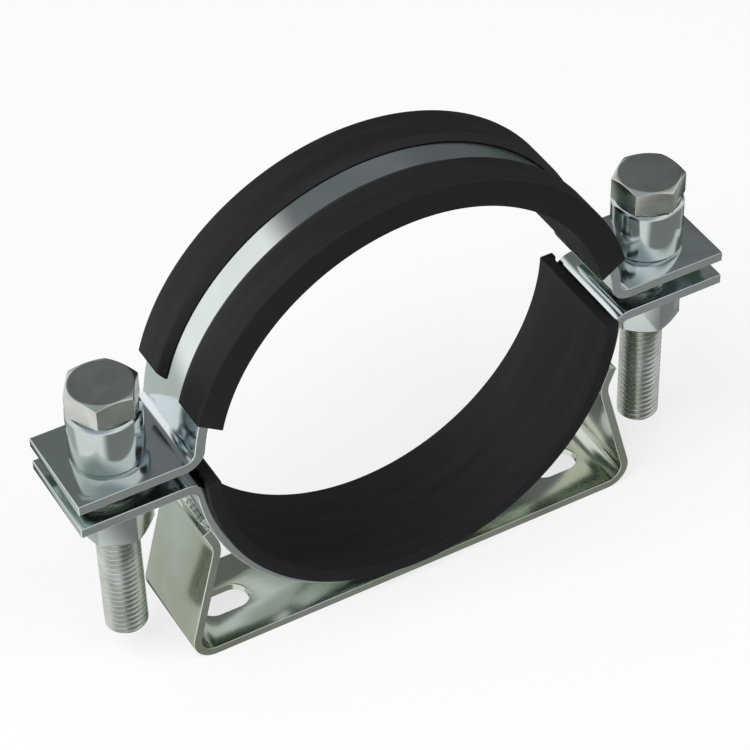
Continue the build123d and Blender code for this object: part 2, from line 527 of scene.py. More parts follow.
@dataclass(frozen=True)
class ZincPlate:
    """Zinc plated steel.

    Attributes:
        name: Name of the material.
        clear: Colour where the passivation is thin.
        stained: Colour where it is thick.
        roughness: Lowest and highest roughness.
        lines: Depth share of the rolling lines.
        scratches: Depth share of the cross scratches.
        relief: Height of the bump in metres.
        spread: Cloud scale, in clouds per metre.
        speckle: Share of the fine speckle in the roughness.
    """

    name: str
    clear: Colour
    stained: Colour
    roughness: tuple[float, float]
    lines: float
    scratches: float
    relief: float
    spread: float = 38.0
    speckle: float = 0.45

    def build(self, groups: SurfaceGroups) -> bpy.types.Material:
        """Make the material.

        Args:
            groups: The shared node groups.

        Returns:
            The finished material.
        """
        material, board, surface, place = blank_material(self.name)
        surface.inputs["Metallic"].default_value = 1.0
        marks = board.add("Group", node_tree=groups.rolling)
        marks.inputs["Lines"].default_value = self.lines
        marks.inputs["Scratches"].default_value = self.scratches
        stains = board.add("Group", node_tree=groups.stains)
        stains.inputs["Spread"].default_value = self.spread
        tint = board.add("Mix", data_type="RGBA")
        live_input(tint, "A").default_value = self.clear
        live_input(tint, "B").default_value = self.stained
        shine = board.add("MapRange", To__Min=self.roughness[0], To__Max=self.roughness[1])
        blend = board.add("Math", operation="ADD", use_clamp=True)
        share = board.add("Math", operation="MULTIPLY")
        share.inputs[1].default_value = self.speckle
        bump = board.add("Bump", Strength=1.0, Distance=self.relief)
        for group in (marks, stains):
            board.join(place.outputs["Object"], group.inputs["Vector"])
        board.join(stains.outputs["Cloud"], live_factor(tint))
        board.join(live_result(tint), surface.inputs["Base Color"])
        board.wire((stains, "Speckle", share, 0), (share, "Value", blend, 0), (marks, "Wear", blend, 1),
                   (blend, "Value", shine, "Value"), (shine, "Result", surface, "Roughness"),
                   (marks, "Height", bump, "Height"), (bump, "Normal", surface, "Normal"))
        return material


@dataclass(frozen=True)
class Rubber:
    """Matt black extruded rubber.

    Attributes:
        name: Name of the material.
        fresh: Colour of clean rubber.
        bloomed: Colour of the greyer smears.
        roughness: Lowest and highest roughness.
        relief: Height of the grain in metres.
        sheen: Level of its mirrored light.
    """

    name: str
    fresh: Colour
    bloomed: Colour
    roughness: tuple[float, float]
    relief: float
    sheen: float = 0.22

    def build(self, groups: SurfaceGroups) -> bpy.types.Material:
        """Make the material.

        Args:
            groups: The shared node groups.

        Returns:
            The finished material.
        """
        material, board, surface, place = blank_material(self.name)
        surface.inputs["Metallic"].default_value = 0.0
        surface.inputs["Specular IOR Level"].default_value = self.sheen
        grain = board.add("Group", node_tree=groups.grain)
        tint = board.add("Mix", data_type="RGBA")
        live_input(tint, "A").default_value = self.fresh
        live_input(tint, "B").default_value = self.bloomed
        shine = board.add("MapRange", To__Min=self.roughness[1], To__Max=self.roughness[0])
        bump = board.add("Bump", Strength=1.0, Distance=self.relief)
        board.join(place.outputs["Object"], grain.inputs["Vector"])
        board.join(grain.outputs["Smear"], live_factor(tint))
        board.join(live_result(tint), surface.inputs["Base Color"])
        board.wire((grain, "Smear", shine, "Value"), (shine, "Result", surface, "Roughness"),
                   (grain, "Height", bump, "Height"), (bump, "Normal", surface, "Normal"))
        return material


class Finishes:
    """The object's finishes, each built once."""

    def __init__(self) -> None:
        """Build the shared groups and every material."""
        groups = SurfaceGroups()
        self.strip = ZincPlate("Zinc plated strip", (0.76, 0.81, 0.84, 1.0), (0.68, 0.74, 0.71, 1.0),
                               (0.10, 0.24), 0.25, 0.20, 0.004 * MM).build(groups)
        self.bracket = ZincPlate("Zinc plated bracket", (0.68, 0.72, 0.67, 1.0), (0.58, 0.61, 0.50, 1.0),
                                 (0.16, 0.30), 0.25, 0.20, 0.004 * MM).build(groups)
        self.turned = ZincPlate("Zinc plated sleeve", (0.61, 0.66, 0.67, 1.0), (0.52, 0.57, 0.54, 1.0),
                                (0.10, 0.22), 0.15, 0.15, 0.006 * MM).build(groups)
        self.forged = ZincPlate("Dull zinc fastener", (0.66, 0.69, 0.66, 1.0), (0.54, 0.56, 0.50, 1.0),
                                (0.22, 0.36), 0.10, 0.45, 0.012 * MM, spread=120.0).build(groups)
        self.rubber = Rubber("Black rubber", (0.010, 0.010, 0.011, 1.0), (0.013, 0.014, 0.016, 1.0),
                             (0.54, 0.60), 0.003 * MM).build(groups)


# ---- Pieces ----

class BentStrip:
    """Flat steel strip that grows by straight runs and bends in the XZ plane."""

    def __init__(self, start: Vector, heading: float, width: float, thickness: float) -> None:
        """Lay down the strip's first end.

        Args:
            start: Middle of the end.
            heading: Direction that the strip sets out in, in degrees from +X towards +Z.
            width: Width along Y.
            thickness: Thickness of the strip.
        """
        self.bm = bmesh.new()
        self.heading = math.radians(heading)
        self.place = start.copy()
        self.thickness = thickness
        grid = bmesh.ops.create_grid(self.bm, x_segments=1, y_segments=1, size=0.5)
        turn = Matrix.Rotation(-self.heading, 4, "Y") @ Matrix.Rotation(math.pi / 2, 4, "Y")
        size = Matrix.Diagonal((thickness, width, 1, 1))
        bmesh.ops.transform(self.bm, verts=grid["verts"], matrix=Matrix.Translation(start) @ turn @ size)
        self.end = list(self.bm.faces)
        self.started = False

    def _open_old_end(self) -> None:
        """Take out the face that the strip has grown on from, unless it is the strip's first end."""
        if self.started:
            inside = [face for face in self.end if face.is_valid]
            bmesh.ops.delete(self.bm, geom=inside, context="FACES_ONLY")
        self.started = True

    @property
    def along(self) -> Vector:
        """Unit vector of the present heading."""
        return Vector((math.cos(self.heading), 0, math.sin(self.heading)))

    def straight(self, length: float) -> None:
        """Grow the strip straight ahead.

        Args:
            length: Length of the run in metres.
        """
        grown = bmesh.ops.extrude_face_region(self.bm, geom=self.end)["geom"]
        self._open_old_end()
        step = self.along * length
        moved = [v for v in grown if isinstance(v, bmesh.types.BMVert)]
        bmesh.ops.translate(self.bm, vec=step, verts=moved)
        self.place += step
        self.end = [f for f in grown if isinstance(f, bmesh.types.BMFace)]

    def bend(self, angle: float, radius: float, steps: int) -> None:
        """Bend the strip.

        Args:
            angle: Change of heading in degrees, positive from +X towards +Z.
            radius: Radius of the strip's middle line in metres.
            steps: Faces along the bend.
        """
        turn = math.radians(angle)
        side = Vector((-math.sin(self.heading), 0, math.cos(self.heading))) * math.copysign(1.0, angle)
        centre = self.place + side * radius
        grown = bmesh.ops.spin(self.bm, geom=self.end, cent=centre, axis=(0, -1, 0), angle=turn,
                               steps=steps, use_merge=False, use_duplicate=False)["geom_last"]
        self._open_old_end()
        self.place = centre + Matrix.Rotation(-turn, 3, "Y") @ (self.place - centre)
        self.heading += turn
        self.end = [f for f in grown if isinstance(f, bmesh.types.BMFace)]

    def finish(self, name: str) -> bpy.types.Object:
        """Turn the strip into an object of that name."""
        return new_piece(name, self.bm)


@dataclass
class Band:
    """Half ring of steel strip whose ends bend outwards into flat ears with one bolt hole each.

    Attributes:
        ring: Shared sizes of the ring.
        half: Which half it is.
        finish: Its material.
        bend_inside: Inner radius of the bend into the ear.
        hole: Diameter of the bolt holes.
        edge: Radius of the strip's rolled edges.
        bend_steps: Faces along the bend into an ear.
        ring_steps: Faces along the half ring.
        hole_steps: Faces round a bolt hole.
    """

    ring: RingSizes
    half: Half
    finish: bpy.types.Material
    bend_inside: float = 3.0 * MM
    hole: float = 13.0 * MM
    edge: float = 0.3 * MM
    bend_steps: int = 12
    ring_steps: int = 96
    hole_steps: int = 64

    def build(self) -> None:
        """Bend the strip, drill it, round its edges and hand it over."""
        ring = self.ring
        middle = ring.band_outside - ring.strip / 2
        bend = self.bend_inside + ring.strip / 2
        ear_middle = ring.ear_gap / 2 + ring.strip / 2
        bend_height = ear_middle + bend
        bend_x = math.sqrt((middle + bend) ** 2 - bend_height ** 2)
        meet = math.degrees(math.atan2(bend_height, bend_x))
        strip = BentStrip(Vector((-ring.ear_end, 0, ear_middle)), 0.0, ring.width, ring.strip)
        strip.straight(ring.ear_end - bend_x)
        for angle, radius, steps in ((90.0 - meet, bend, self.bend_steps),
                                     (2 * meet - 180.0, middle, self.ring_steps),
                                     (90.0 - meet, bend, self.bend_steps)):
            strip.bend(angle, radius, steps)
        strip.straight(ring.ear_end - bend_x)
        turn = Matrix.Identity(4) if self.half is Half.UPPER else Matrix.Rotation(math.pi, 4, "X")
        bmesh.ops.transform(strip.bm, matrix=Matrix.Translation(ring.centre) @ turn, verts=strip.bm.verts)
        piece = strip.finish(f"{self.half.word}_band_strip")
        for side in Side:
            machine(piece, self._drill(side), Operation.CUT)
        round_edges(piece, self.edge)
        smooth(piece)
        hand_over(piece, self.finish, self.half.body, [f"{self.half.word}_band"])

    def _drill(self, side: Side) -> bpy.types.Object:
        """Make the cutting cylinder for one bolt hole.

        Args:
            side: The ear that it drills.

        Returns:
            The tool, in its place.
        """
        ring = self.ring
        bm = bmesh.new()
        bmesh.ops.create_cone(bm, cap_ends=True, segments=self.hole_steps, radius1=self.hole / 2,
                              radius2=self.hole / 2, depth=4 * ring.strip)
        level = ring.axis_height + self.half.value * (ring.ear_gap + ring.strip) / 2
        bmesh.ops.translate(bm, vec=ring.bolt_axis(side, level), verts=bm.verts)
        return new_piece("drill", bm)


@dataclass
class Liner:
    """Rubber lining of one half: a channel round the upper band, a flanged strip inside the lower one.

    Attributes:
        ring: Shared sizes of the ring.
        half: Which half it is.
        finish: Its material.
        corner: Radius of the profile's corners.
        end_edge: Radius of the cut ends' edges.
        lip_height: Height of the lips over the band's outer face.
        lip_top_from_middle: Distance of a lip's top inner edge from the middle.
        lip_foot_from_middle: Distance of its foot from the middle.
        flange_height: Height of the lower liner's flanges beside the band's rim.
        upper_cut_inside: Height of the upper liner's cut over the pipe axis, at the bore.
        upper_cut_outside: The same at the lips.
        lower_cut: Distance of the lower liner's ends below the pipe axis.
        steps: Faces along the half ring.
    """

    ring: RingSizes
    half: Half
    finish: bpy.types.Material
    corner: float = 0.45 * MM
    end_edge: float = 0.3 * MM
    lip_height: float = 1.8 * MM
    lip_top_from_middle: float = 6.3 * MM
    lip_foot_from_middle: float = 3.8 * MM
    flange_height: float = 0.8 * MM
    upper_cut_inside: float = 14.4 * MM
    upper_cut_outside: float = 19.2 * MM
    lower_cut: float = 2.6 * MM
    steps: int = 128

    def _edge(self) -> float:
        """Half of the liner's width along the pipe, from the frame."""
        low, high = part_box(f"{self.half.word}_liner")
        return (high[1] - low[1]) / 2

    def _lip_outside(self) -> float:
        """Radius of the upper liner's lips."""
        return self.ring.band_outside + self.ring.gap + self.lip_height

    def _profile(self) -> list[tuple[float, float]]:
        """Work out the closed profile of the rubber.

        Returns:
            Its corners as (radius, y) pairs in metres.
        """
        ring = self.ring
        edge = self._edge()
        rim = ring.width / 2 + ring.gap
        back = ring.bore + ring.liner
        over = ring.band_outside + ring.gap
        if self.half is Half.UPPER:
            lip = self._lip_outside()
            side = [(ring.bore, edge), (lip, edge), (lip, self.lip_top_from_middle),
                    (over, self.lip_foot_from_middle), (over, rim), (back, rim)]
        else:
            flange = ring.band_inside + self.flange_height
            side = [(ring.bore, edge), (flange, edge), (flange, rim), (back, rim)]
        return side + [(radius, -y) for radius, y in reversed(side)]

    def build(self) -> None:
        """Spin the profile, trim its ends, round its edges and hand it over."""
        ring = self.ring
        bm = bmesh.new()
        geometry = polygon(bm, [(radius, y, 0) for radius, y in self._profile()], self.corner)
        bmesh.ops.spin(bm, geom=geometry, cent=(0, 0, 0), axis=(0, -1, 0), angle=math.pi, steps=self.steps,
                       use_merge=False, use_duplicate=False)
        bmesh.ops.recalc_face_normals(bm, faces=bm.faces)
        for side in Side:
            self._trim(bm, side)
        if self.half is Half.LOWER:
            bmesh.ops.rotate(bm, cent=(0, 0, 0), matrix=Matrix.Rotation(math.pi, 3, "X"), verts=bm.verts)
        bmesh.ops.translate(bm, vec=ring.centre, verts=bm.verts)
        piece = new_piece(f"{self.half.word}_rubber", bm)
        round_edges(piece, self.end_edge, limit=50.0)
        smooth(piece, limit=40.0)
        hand_over(piece, self.finish, self.half.body, [f"{self.half.word}_liner"])

    def _trim(self, bm: bmesh.types.BMesh, side: Side) -> None:
        """Cut one end off along its plane and close it.

        Args:
            bm: The half ring, standing on the pipe axis.
            side: Which end.
        """
        if self.half is Half.UPPER:
            inner, outer = (Vector((math.sqrt(radius ** 2 - height ** 2), 0, height)) for radius, height in
                            ((self.ring.bore, self.upper_cut_inside),
                             (self._lip_outside(), self.upper_cut_outside)))
            along = (outer - inner).normalized()
        else:
            inner = Vector((self.ring.bore, 0, self.lower_cut))
            along = Vector((1, 0, 0))
        point, normal = inner, Vector((-along.z, 0, along.x))
        point.x *= side.value
        normal.x *= side.value
        near = [v for v in bm.verts if v.co.x * side.value > 0]
        edges = {e for v in near for e in v.link_edges}
        faces = {f for v in near for f in v.link_faces}
        slice_off(bm, near + list(edges) + list(faces), point, normal)


@dataclass
class BaseBracket:
    """Bent strip under the ring: a slotted base plate and two leaning walls welded to the lower band.

    Attributes:
        ring: Shared sizes of the ring.
        finish: Its material.
        thickness: Thickness of the strip.
        wall_lean: Lean of the walls towards the middle, in degrees from upright.
        wall_spread: Distance of the lower corners past the band's outer radius.
        corner_radius: Middle radius of the bends between base plate and walls.
        knee_radius: Middle radius of the bends between walls and top ends.
        top_angle: Lean of the top ends outwards, in degrees from upright.
        top_gap: Clearance between top ends and band.
        top_rise: Length of a top end past the point where it is nearest to the band.
        edge: Radius of the strip's rolled edges.
        knee_steps: Faces along the bend into a top end.
        corner_steps: Faces along the bend into the base plate.
        slot_steps: Faces round a slot's two ends.
        bead_radius: Radius of the weld beads.
        bead_inset: Distance of a bead's ends from the strip's edges.
        bead_ripples: Ripples along a bead.
        bead_depth: Depth of a ripple as a share of the radius.
        bead_end: Thickness of a bead's ends as a share of its middle's.
        bead_swell: Growth of that share over one bead length.
        bead_out: Distance of a bead's axis from the band, in bead radii.
        bead_up: Its distance past the strip's end, in bead radii.
        bead_sides: Faces round a bead.
        rings_per_ripple: Rings of vertices along each ripple.
    """

    ring: RingSizes
    finish: bpy.types.Material
    thickness: float = 2.5 * MM
    wall_lean: float = 14.4
    wall_spread: float = 4.9 * MM
    corner_radius: float = 5.5 * MM
    knee_radius: float = 8.0 * MM
    top_angle: float = 22.0
    top_gap: float = 0.15 * MM
    top_rise: float = 3.8 * MM
    edge: float = 0.3 * MM
    knee_steps: int = 10
    corner_steps: int = 18
    slot_steps: int = 48
    bead_radius: float = 1.364 * MM
    bead_inset: float = 1.0 * MM
    bead_ripples: int = 13
    bead_depth: float = 0.03
    bead_end: float = 0.55
    bead_swell: float = 6.0
    bead_out: float = 0.15
    bead_up: float = 0.55
    bead_sides: int = 20
    rings_per_ripple: int = 8

    def build(self) -> None:
        """Bend the strip, cut its slots, lay the weld beads and hand all of it over."""
        ring = self.ring
        reach = ring.band_outside + self.top_gap + self.thickness / 2
        turn = math.radians(self.top_angle)
        lean = math.radians(self.wall_lean)
        across = Vector((math.cos(turn), 0, -math.sin(turn)))
        along = Vector((math.sin(turn), 0, math.cos(turn)))
        top = across * reach + along * self.top_rise
        corner = Vector((ring.band_outside + self.wall_spread, 0, self.thickness / 2 - ring.axis_height))
        wall = Vector((-math.sin(lean), 0, math.cos(lean)))
        knee = corner + wall * ((reach - corner.dot(across)) / wall.dot(across))
        knee_turn = self.top_angle + self.wall_lean
        corner_turn = 90.0 + self.wall_lean
        knee_cut = self.knee_radius * math.tan(math.radians(knee_turn) / 2)
        corner_cut = self.corner_radius * math.tan(math.radians(corner_turn) / 2)
        upper = (knee - top).length - knee_cut
        lower = (corner - knee).length - knee_cut - corner_cut
        knee_bend = (knee_turn, self.knee_radius, self.knee_steps)
        corner_bend = (-corner_turn, self.corner_radius, self.corner_steps)
        strip = BentStrip(ring.centre + top, -90.0 - self.top_angle, ring.width, self.thickness)
        strip.straight(upper)
        for length, bend in ((lower, knee_bend), (2 * (corner.x - corner_cut), corner_bend),
                             (lower, corner_bend), (upper, knee_bend)):
            strip.bend(*bend)
            strip.straight(length)
        piece = strip.finish("bracket_strip")
        slots = mount("base_slots")["dims"]
        for side in Side:
            machine(piece, self._slot_tool(side, slots), Operation.CUT)
        round_edges(piece, self.edge)
        smooth(piece)
        hand_over(piece, self.finish, Body.BASE, ["base_bracket"])
        for side in Side:
            self._bead(side, across, along)

    def _slot_tool(self, side: Side, slots: dict[str, float]) -> bpy.types.Object:
        """Make the cutting body for one slot of the base plate.

        Args:
            side: Which slot.
            slots: Sizes of the slots from the record, in millimetres.

        Returns:
            The tool, in its place.
        """
        radius = slots["hole_r_mm"] * MM
        half = slots["slot_length_mm"] * MM / 2 - radius
        bm = bmesh.new()
        bmesh.ops.create_cone(bm, cap_ends=True, segments=self.slot_steps, radius1=radius, radius2=radius,
                              depth=4 * self.thickness)
        for vertex in bm.verts:
            vertex.co.x += math.copysign(half, vertex.co.x)
        centre = (side.value * slots["spacing_x_mm"] * MM / 2, 0, self.thickness / 2)
        bmesh.ops.translate(bm, vec=centre, verts=bm.verts)
        return new_piece("slot_tool", bm)

    def _bead(self, side: Side, across: Vector, along: Vector) -> None:
        """Lay the rippled weld bead that joins one top end to the band.

        Args:
            side: Which end.
            across: Direction out of the ring at the bracket's top.
            along: Direction up the strip there.
        """
        ring = self.ring
        bm = bmesh.new()
        radius = self.bead_radius
        length = ring.width - 2 * self.bead_inset
        rings = self.bead_ripples * self.rings_per_ripple
        made = bmesh.ops.create_cone(bm, cap_ends=True, segments=self.bead_sides, radius1=radius,
                                     radius2=radius, depth=length)
        bmesh.ops.rotate(bm, cent=(0, 0, 0), matrix=Matrix.Rotation(math.pi / 2, 3, "X"),
                         verts=made["verts"])
        lengthwise = [e for e in bm.edges if abs(e.verts[0].co.y - e.verts[1].co.y) > length / 2]
        bmesh.ops.subdivide_edges(bm, edges=lengthwise, cuts=rings, use_grid_fill=True)
        for vertex in bm.verts:
            share = vertex.co.y / length + 0.5
            ripple = 1.0 - self.bead_depth * abs(math.sin(math.pi * self.bead_ripples * share))
            taper = min(1.0, self.bead_end + self.bead_swell * min(share, 1.0 - share))
            vertex.co.x *= ripple * taper
            vertex.co.z *= ripple * taper
        spot = (across * (ring.band_outside + radius * self.bead_out)
                + along * (self.top_rise + radius * self.bead_up))
        spot.x *= side.value
        bmesh.ops.translate(bm, vec=ring.centre + spot, verts=bm.verts)
        bead = new_piece(f"weld_bead_{side.word}", bm)
        smooth(bead, limit=60.0)
        hand_over(bead, self.finish, Body.BASE)


@dataclass
class Sleeve:
    """Turned spacer sleeve between an upper ear and its bolt head.

    Attributes:
        ring: Shared sizes of the ring.
        side: Which end of the clamp it is at.
        finish: Its material.
        bore: Diameter of its bore.
        chamfer: Size of the chamfers at its ends.
        edge: Radius of its turned edges.
    """

    ring: RingSizes
    side: Side
    finish: bpy.types.Material
    bore: float = 13.0 * MM
    chamfer: float = 0.9 * MM
    edge: float = 0.15 * MM

    def build(self) -> None:
        """Turn the sleeve and hand it over."""
        node = f"sleeve_{self.side.word}"
        low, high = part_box(node)
        outer = (high[0] - low[0]) / 2
        bore = self.bore / 2
        height = high[2] - low[2]
        face = outer - self.chamfer
        profile = [(bore, 0), (face, 0), (outer, self.chamfer), (outer, height - self.chamfer),
                   (face, height), (bore, height)]
        piece = turned(f"{node}_turned", profile, self.ring.bolt_axis(self.side, low[2]), closed=True)
        round_edges(piece, self.edge, segments=2, limit=25.0)
        smooth(piece, limit=30.0)
        hand_over(piece, self.finish, Body.UPPER, [node])


def hexagon_blank(name: str, across_flats: float, height: float, turn: float,
                  place: Vector) -> bpy.types.Object:
    """Hexagonal bar end.

    Args:
        name: The object's name.
        across_flats: Distance across flats in metres.
        height: Height of the blank.
        turn: Turn about its axis in degrees.
        place: Middle of its lower face.

    Returns:
        The blank.
    """
    bm = bmesh.new()
    corner = across_flats / 2 / math.cos(math.pi / 6)
    bmesh.ops.create_cone(bm, cap_ends=True, segments=6, radius1=corner, radius2=corner, depth=height)
    spin = Matrix.Rotation(math.radians(turn), 4, "Z")
    lift = Matrix.Translation(place + Vector((0, 0, height / 2)))
    first = next(v.co for v in bm.verts)
    phase = Matrix.Rotation(-math.atan2(first.y, first.x), 4, "Z")
    bmesh.ops.transform(bm, matrix=lift @ spin @ phase, verts=bm.verts)
    return new_piece(name, bm)


@dataclass(frozen=True)
class Hexagon:
    """Sizes that bolt heads and nuts share.

    Attributes:
        across_flats: Distance across flats.
        face_ratio: Diameter of the round end face as a share of the distance across flats.
        chamfer: Angle of the chamfer over that face, in degrees.
        edge: Radius of the edges.
    """

    across_flats: float = 18.0 * MM
    face_ratio: float = 0.94
    chamfer: float = 30.0
    edge: float = 0.25 * MM

    def chamfer_tool(self, place: Vector, height: float, upwards: bool) -> bpy.types.Object:
        """Turned body that takes the corners off one end of a hexagon.

        Args:
            place: Middle of the end that stays square.
            height: Height of the hexagon.
            upwards: True if the chamfered end is the upper one.

        Returns:
            The tool, to be crossed with the hexagon.
        """
        sign = 1 if upwards else -1
        face = self.across_flats * self.face_ratio / 2
        reach = self.across_flats
        drop = (reach - face) * math.tan(math.radians(self.chamfer))
        top = sign * height
        profile = [(0, top), (face, top), (reach, top - sign * drop), (reach, -top), (0, -top)]
        return turned("chamfer_tool", profile, place)


@dataclass
class WeldNut:
    """Long hexagon nut under a lower ear.

    Attributes:
        ring: Shared sizes of the ring.
        side: Which end of the clamp it is at.
        turn: Turn about its axis in degrees.
        finish: Its material.
        hexagon: Its hexagon.
        bore: Diameter of its bore.
        countersink: Depth of the countersink at its lower end.
    """

    ring: RingSizes
    side: Side
    turn: float
    finish: bpy.types.Material
    hexagon: Hexagon = field(default_factory=Hexagon)
    bore: float = 12.1 * MM
    countersink: float = 0.6 * MM

    def build(self) -> None:
        """Chamfer the hexagon, bore it and hand it over."""
        node = f"weld_nut_{self.side.word}"
        low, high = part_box(node)
        height = high[2] - low[2]
        place = self.ring.bolt_axis(self.side, low[2])
        piece = hexagon_blank(f"{node}_hexagon", self.hexagon.across_flats, height, self.turn, place)
        top = place + Vector((0, 0, height))
        machine(piece, self.hexagon.chamfer_tool(top, height, upwards=False), Operation.CROSS)
        bore = self.bore / 2
        margin = self.countersink
        profile = [(0, -margin), (bore + 2 * self.countersink, -margin), (bore, self.countersink),
                   (bore, height + margin), (0, height + margin)]
        machine(piece, turned("bore_tool", profile, place), Operation.CUT)
        round_edges(piece, self.hexagon.edge, limit=25.0)
        smooth(piece, limit=30.0)
        hand_over(piece, self.finish, Body.BASE, [node])


@dataclass
class HexBolt:
    """Hexagon head bolt, threaded up to its head.

    Attributes:
        ring: Shared sizes of the ring.
        side: Which end of the clamp it is at.
        turn: Turn of its head about its axis, in degrees.
        finish: Its material.
        hexagon: Hexagon of its head.
        head_height: Height of the head.
        washer_face: Diameter of the round face under the head.
        washer_height: Height of that face's rim, below the hexagon and as far up into it.
        pitch: Pitch of the thread.
        major: Outer diameter of the thread.
        thread_depth: Depth of the thread.
        tip_chamfer: Size of the chamfer at the tip.
        thread_margin: Clearance of the tool that shapes the thread's outside.
        steps_per_turn: Faces along one turn of the thread.
    """

    ring: RingSizes
    side: Side
    turn: float
    finish: bpy.types.Material
    hexagon: Hexagon = field(default_factory=Hexagon)
    head_height: float = 7.5 * MM
    washer_face: float = 16.8 * MM
    washer_height: float = 0.6 * MM
    pitch: float = 1.75 * MM
    major: float = 12.0 * MM
    thread_depth: float = 1.07 * MM
    tip_chamfer: float = 1.1 * MM
    thread_margin: float = 0.01 * MM
    steps_per_turn: int = 40

    def build(self) -> None:
        """Make head and thread, join them and hand the bolt over."""
        name = self.side.word
        low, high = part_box(f"bolt_{name}")
        axis = self.ring.bolt_axis(self.side)
        head = self._head(axis + Vector((0, 0, high[2] - self.head_height)))
        thread = self._thread(axis, low[2], high[2] - self.head_height)
        bm = bmesh.new()
        for part in (head, thread):
            bm.from_mesh(part.data)
            bpy.data.objects.remove(part)
        mesh = bpy.data.meshes.new(f"bolt_{name}_threaded")
        bm.to_mesh(mesh)
        bm.free()
        piece = bpy.data.objects.new(mesh.name, mesh)
        bpy.context.scene.collection.objects.link(piece)
        smooth(piece, limit=28.0)
        body = Body.LEFT_BOLT if self.side is Side.LEFT else Body.RIGHT_BOLT
        hand_over(piece, self.finish, body, [f"bolt_{name}"])

    def _head(self, place: Vector) -> bpy.types.Object:
        """Make the chamfered hexagon with its washer face.

        Args:
            place: Middle of the hexagon's underside.

        Returns:
            The head.
        """
        head = hexagon_blank("head", self.hexagon.across_flats, self.head_height, self.turn, place)
        machine(head, self.hexagon.chamfer_tool(place, self.head_height, upwards=True), Operation.CROSS)
        inner, outer, rise = self.major / 4, self.washer_face / 2, self.washer_height
        ring = [(inner, -rise), (outer, -rise), (outer, rise), (inner, rise)]
        machine(head, turned("washer", ring, place, closed=True), Operation.JOIN)
        round_edges(head, self.hexagon.edge, limit=25.0)
        return head

    def _thread(self, axis: Vector, tip: float, head: float) -> bpy.types.Object:
        """Make the shank with its thread, whose flanks stand at 60 degrees to each other.

        Args:
            axis: Point on the bolt's axis.
            tip: Height of the bolt's tip.
            head: Height of the head's underside.

        Returns:
            The threaded shank with its chamfered tip.
        """
        radius = self.major / 2
        root = radius - self.thread_depth
        flank = self.thread_depth * math.tan(math.pi / 6)
        crest = self.pitch / 8
        heights = [0, crest, crest + flank, self.pitch - flank, self.pitch]
        radii = [radius, radius, root, root, radius]
        bm = bmesh.new()
        start = tip - 2 * self.pitch
        line = [bm.verts.new((axis.x + r, 0, start + z)) for r, z in zip(radii, heights)]
        edges = [bm.edges.new(pair) for pair in zip(line, line[1:])]
        turns = math.ceil((head - start) / self.pitch) + 1
        steps = turns * self.steps_per_turn
        bmesh.ops.spin(bm, geom=line + edges, cent=axis, axis=(0, 0, 1), angle=turns * math.tau,
                       steps=steps, dvec=(0, 0, self.pitch / self.steps_per_turn), use_merge=False,
                       use_duplicate=False)
        bmesh.ops.remove_doubles(bm, verts=bm.verts, dist=MERGE)
        for level, up in ((tip, False), (head + self.washer_height, True)):
            whole = list(bm.verts) + list(bm.edges) + list(bm.faces)
            slice_off(bm, whole, Vector((0, 0, level)), Vector((0, 0, 1)), up, margin=1e-8)
        shank = new_piece("shank", bm)
        top = head + 2 * self.washer_height - tip
        point = radius - self.tip_chamfer
        outside = radius + self.thread_margin
        below = -self.thread_margin
        outline = [(0, below), (point + below, below), (outside, self.tip_chamfer), (outside, top), (0, top)]
        blank = turned("blank", outline, Vector((axis.x, 0, tip)))
        machine(shank, blank, Operation.CROSS)
        return shank


@dataclass
class PipeClamp:
    """The whole clamp: ring halves with their liners, base bracket, sleeves, nuts and bolts.

    Attributes:
        ring: Shared sizes of the ring.
        finishes: The materials of its pieces.
        bolt_turns: Turn of the left and right bolt's head, in degrees.
        nut_turns: The same for the nuts.
    """

    ring: RingSizes = field(default_factory=ring_from_frame)
    finishes: Finishes = field(default_factory=Finishes)
    bolt_turns: tuple[float, float] = (-2.0, -23.0)
    nut_turns: tuple[float, float] = (40.0, 24.0)

    def build(self) -> None:
        """Build every piece in the order in which the clamp is put together."""
        for half in (Half.LOWER, Half.UPPER):
            Band(self.ring, half, self.finishes.strip).build()
            Liner(self.ring, half, self.finishes.rubber).build()
        BaseBracket(self.ring, self.finishes.bracket).build()
        for side, nut_turn, bolt_turn in zip(Side, self.nut_turns, self.bolt_turns):
            WeldNut(self.ring, side, nut_turn, self.finishes.turned).build()
            Sleeve(self.ring, side, self.finishes.turned).build()
            HexBolt(self.ring, side, bolt_turn, self.finishes.forged).build()


# ---- Studio ----

@dataclass(frozen=True)
class SoftBox:
    """Rectangular lamp that faces the object; shiny faces mirror the background in its place.

    Attributes:
        name: The lamp's name.
        azimuth: Direction it stands in, in degrees, 0 being the front and 90 the right.
        elevation: Height angle in degrees.
        distance: Distance from the object in metres.
        size: Width and height in metres.
        power: Power in watts.
        colour: Colour of its light.
    """

    name: str
    azimuth: float
    elevation: float
    distance: float
    size: tuple[float, float]
    power: float
    colour: Tint = (1.0, 1.0, 1.0)

    def build(self, target: Vector) -> None:
        """Hang the lamp and aim it.

        Args:
            target: The point that it faces.
        """
        data = bpy.data.lights.new(self.name, "AREA")
        data.shape = "RECTANGLE"
        data.size, data.size_y = self.size
        data.energy = self.power
        data.color = self.colour
        lamp = bpy.data.objects.new(self.name, data)
        turn = Matrix.Rotation(math.radians(self.azimuth), 4, "Z") @ Matrix.Rotation(
            math.radians(90.0 - self.elevation), 4, "X")
        lamp.matrix_world = Matrix.Translation(target) @ turn @ Matrix.Translation((0, 0, self.distance))
        lamp.visible_glossy = False
        bpy.context.scene.collection.objects.link(lamp)


